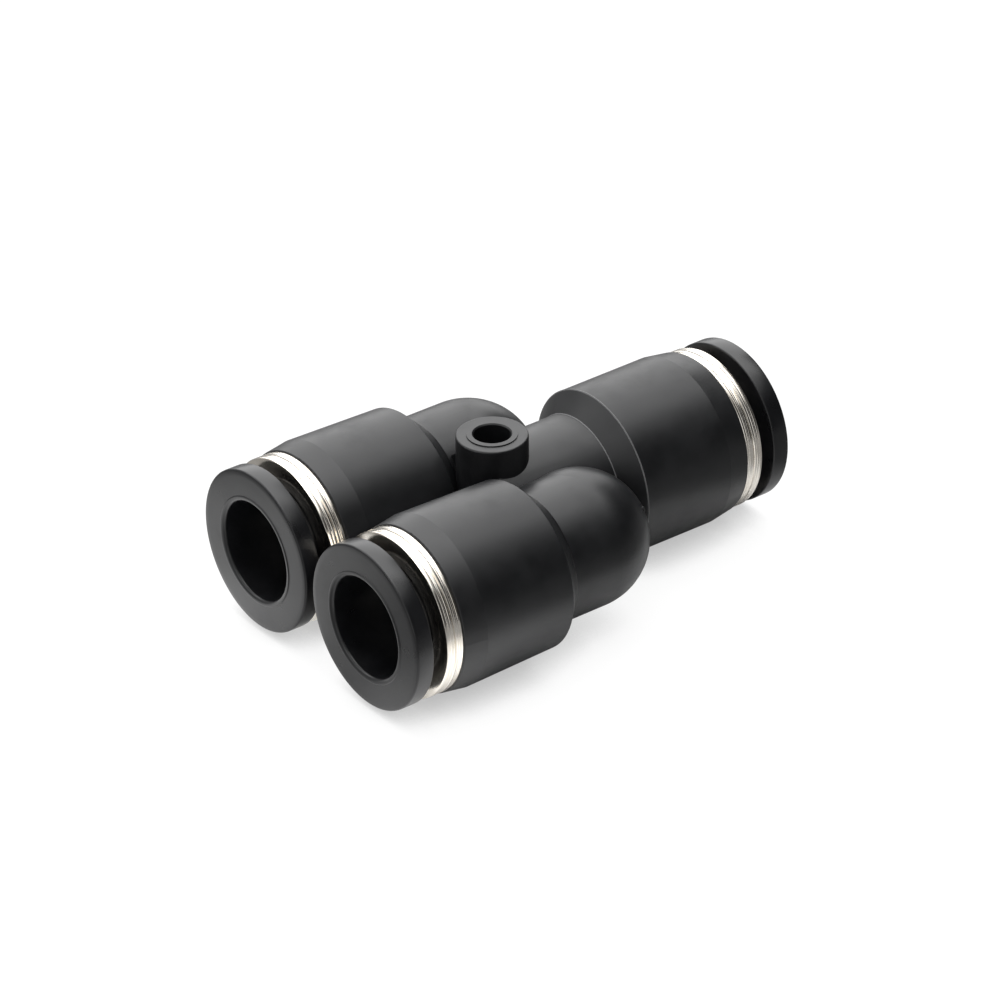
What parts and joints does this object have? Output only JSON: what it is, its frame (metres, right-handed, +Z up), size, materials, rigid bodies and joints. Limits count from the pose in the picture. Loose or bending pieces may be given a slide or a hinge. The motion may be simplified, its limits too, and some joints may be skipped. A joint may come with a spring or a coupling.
{
  "type": "push-in y connector",
  "caption": "Push-in union Y for plastic tube: parallel branch ports and a trunk port with release sleeves and plated rings, and a boss with a mounting hole between the branches.",
  "frame": {"origin": "on the axis of the mounting hole, in the plane of the port axes", "axes": "+Z up the mounting hole, +Y out of the trunk port, the branch ports open towards -Y, +X to the right branch"},
  "size_m": [0.0424, 0.0634, 0.0217],
  "materials": {
    "housing": "fine moulded satin, black",
    "sleeve": "smooth satin, black",
    "ring": "turned and nickel plated, bright",
    "claw": "spring steel strip",
    "backing": "natural acetal",
    "seal": "moulded nitrile"
  },
  "bodies": {
    "fitting": {"body": "housing", "retaining_ring_left": "ring", "lock_claw_left": "claw", "backing_ring_left": "backing", "seal_left": "seal", "retaining_ring_right": "ring", "lock_claw_right": "claw", "backing_ring_right": "backing", "seal_right": "seal", "retaining_ring_trunk": "ring", "lock_claw_trunk": "claw", "backing_ring_trunk": "backing", "seal_trunk": "seal"},
    "sleeve_left": {"release_sleeve_left": "sleeve"},
    "sleeve_right": {"release_sleeve_right": "sleeve"},
    "sleeve_trunk": {"release_sleeve_trunk": "sleeve"}
  },
  "joints": [
    {"name": "release_left", "type": "slide", "parent": "fitting", "child": "sleeve_left", "axis": [0, 1, 0], "range_m": [0, 0.0017], "stiffness_N_per_m": 3000, "springref_m": -0.0005},
    {"name": "release_right", "type": "slide", "parent": "fitting", "child": "sleeve_right", "axis": [0, 1, 0], "range_m": [0, 0.0017], "stiffness_N_per_m": 3000, "springref_m": -0.0005},
    {"name": "release_trunk", "type": "slide", "parent": "fitting", "child": "sleeve_trunk", "axis": [0, -1, 0], "range_m": [0, 0.0017], "stiffness_N_per_m": 3000, "springref_m": -0.0005}
  ]
}
